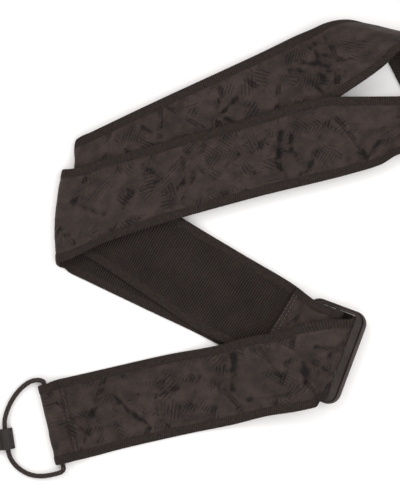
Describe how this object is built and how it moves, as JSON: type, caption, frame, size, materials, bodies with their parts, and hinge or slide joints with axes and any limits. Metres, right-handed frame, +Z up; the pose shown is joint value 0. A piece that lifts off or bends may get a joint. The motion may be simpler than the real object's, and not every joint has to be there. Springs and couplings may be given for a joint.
{
  "type": "guitar strap",
  "caption": "Fabric guitar strap folded flat, with a slider, a ring and leather button end, and a cord loop with a small button tab.",
  "frame": {"origin": "bottom centre of the laid-out strap, without its cord loop and button tab, on the surface it lies on", "axes": "+Z up from the surface; +X from the hemmed cord end towards the ring end; +Y across the folded layout"},
  "size_m": [0.4028, 0.288, 0.0208],
  "materials": {
    "jacquard": "satin jacquard cloth",
    "webbing": "ribbed webbing",
    "overlock": "overlock thread",
    "thread": "sewing thread",
    "slider": "satin moulded",
    "ring": "satin moulded",
    "leather": "smooth black leather",
    "cord": "round braided cord"
  },
  "bodies": {
    "button_tab": {"button_tab_lower_ply": "leather", "button_tab_stitches": "thread", "button_tab_upper_ply": "leather"},
    "cord": {"cord_in_hem": "cord", "cord_loop": "cord"},
    "end_tab": {"end_tab": "leather", "end_tab_stitches": "thread"},
    "strap": {"hem_stitches": "thread", "jacquard_bar_wrap": "jacquard", "jacquard_cross_run": "jacquard", "jacquard_front_run": "jacquard", "jacquard_hem_flap": "jacquard", "jacquard_hem_fold": "jacquard", "jacquard_inner_fold": "jacquard", "jacquard_lower_run": "jacquard", "jacquard_outer_fold": "jacquard", "jacquard_ring_fold": "jacquard", "jacquard_sewn_end": "jacquard", "jacquard_sewn_run": "jacquard", "jacquard_slider_fold": "jacquard", "jacquard_soft_turn": "jacquard", "jacquard_tail_run": "jacquard", "jacquard_upper_run": "jacquard", "overlock_first_edge": "overlock", "overlock_second_edge": "overlock", "sewn_end_stitches": "thread", "webbing_bar_wrap": "webbing", "webbing_cross_run": "webbing", "webbing_front_run": "webbing", "webbing_hem_flap": "webbing", "webbing_hem_fold": "webbing", "webbing_inner_fold": "webbing", "webbing_lower_run": "webbing", "webbing_outer_fold": "webbing", "webbing_ring_fold": "webbing", "webbing_sewn_end": "webbing", "webbing_sewn_run": "webbing", "webbing_slider_fold": "webbing", "webbing_soft_turn": "webbing", "webbing_tail_run": "webbing", "webbing_upper_run": "webbing"},
    "ring": {"ring": "ring"},
    "slider": {"slider_frame": "slider"}
  },
  "joints": [
    {"name": "slider_tilt", "type": "hinge", "parent": "strap", "child": "slider", "pos_m": [0.0088, -0.0685, 0.0049], "axis": [-0.3486, -0.9373, 0], "range_deg": [0, 6]},
    {"name": "cord_swing", "type": "hinge", "parent": "strap", "child": "cord", "pos_m": [-0.16479, -0.08972, 0.0035], "axis": [-0.2237, 0.9747, 0], "range_deg": [0, 90]},
    {"name": "button_tab_swing", "type": "hinge", "parent": "cord", "child": "button_tab", "pos_m": [-0.18885, -0.1232, 0.00325], "axis": [-0.1509, 0.9886, 0], "range_deg": [0, 80]},
    {"name": "ring_swing", "type": "hinge", "parent": "strap", "child": "ring", "pos_m": [0.0927, 0.08045, 0.0035], "axis": [-0.4694, -0.883, 0], "range_deg": [0, 60]},
    {"name": "end_tab_swing", "type": "hinge", "parent": "ring", "child": "end_tab", "pos_m": [0.1033, 0.07482, 0.0035], "axis": [-0.4694, -0.883, 0], "range_deg": [0, 90]}
  ]
}
